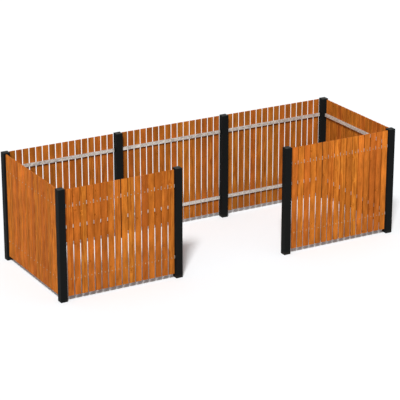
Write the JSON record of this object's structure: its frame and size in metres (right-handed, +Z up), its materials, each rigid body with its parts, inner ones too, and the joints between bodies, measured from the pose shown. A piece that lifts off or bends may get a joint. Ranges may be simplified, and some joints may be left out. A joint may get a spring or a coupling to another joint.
{
  "type": "wheelie bin store",
  "caption": "Open screen for wheelie bins: stained upright timber slats on box rails between square steel posts, with an open bay in the front as the way in.",
  "frame": {"origin": "on the ground, in the middle of the plan", "axes": "+X along the long side, to the right as seen from the front; -Y is the front with the open bay; +Z up"},
  "size_m": [5.655, 1.955, 1.679],
  "materials": {
    "post_coating": "near black powder coat, fine texture, low sheen",
    "cap_coating": "near black powder coat on the flat caps, a little lighter with dust",
    "stained_timber": "sawn softwood with an orange brown stain, grain and knots showing through",
    "galvanised_steel": "hot dip galvanised, dull grey with a mottled spangle",
    "bracket_coating": "black powder coat on the cups and their screws",
    "screw_steel": "bare stainless steel, domed heads"
  },
  "bodies": {
    "root": {"bracket_fixings_back_centre": "bracket_coating", "bracket_fixings_back_left": "bracket_coating", "bracket_fixings_back_right": "bracket_coating", "bracket_fixings_front_left": "bracket_coating", "bracket_fixings_front_right": "bracket_coating", "bracket_fixings_left_side": "bracket_coating", "bracket_fixings_right_side": "bracket_coating", "cap_back_left_corner": "cap_coating", "cap_back_left_inner": "cap_coating", "cap_back_right_corner": "cap_coating", "cap_back_right_inner": "cap_coating", "cap_front_left_corner": "cap_coating", "cap_front_left_inner": "cap_coating", "cap_front_right_corner": "cap_coating", "cap_front_right_inner": "cap_coating", "lower_rail_back_centre": "galvanised_steel", "lower_rail_back_left": "galvanised_steel", "lower_rail_back_right": "galvanised_steel", "lower_rail_front_left": "galvanised_steel", "lower_rail_front_right": "galvanised_steel", "lower_rail_left_side": "galvanised_steel", "lower_rail_right_side": "galvanised_steel", "post_back_left_corner": "post_coating", "post_back_left_inner": "post_coating", "post_back_right_corner": "post_coating", "post_back_right_inner": "post_coating", "post_front_left_corner": "post_coating", "post_front_left_inner": "post_coating", "post_front_right_corner": "post_coating", "post_front_right_inner": "post_coating", "rail_brackets_back_centre": "bracket_coating", "rail_brackets_back_left": "bracket_coating", "rail_brackets_back_right": "bracket_coating", "rail_brackets_front_left": "bracket_coating", "rail_brackets_front_right": "bracket_coating", "rail_brackets_left_side": "bracket_coating", "rail_brackets_right_side": "bracket_coating", "slat_screws_back_centre": "screw_steel", "slat_screws_back_left": "screw_steel", "slat_screws_back_right": "screw_steel", "slat_screws_front_left": "screw_steel", "slat_screws_front_right": "screw_steel", "slat_screws_left_side": "screw_steel", "slat_screws_right_side": "screw_steel", "slats_back_centre": "stained_timber", "slats_back_left": "stained_timber", "slats_back_right": "stained_timber", "slats_front_left": "stained_timber", "slats_front_right": "stained_timber", "slats_left_side": "stained_timber", "slats_right_side": "stained_timber", "upper_rail_back_centre": "galvanised_steel", "upper_rail_back_left": "galvanised_steel", "upper_rail_back_right": "galvanised_steel", "upper_rail_front_left": "galvanised_steel", "upper_rail_front_right": "galvanised_steel", "upper_rail_left_side": "galvanised_steel", "upper_rail_right_side": "galvanised_steel"}
  },
  "joints": []
}
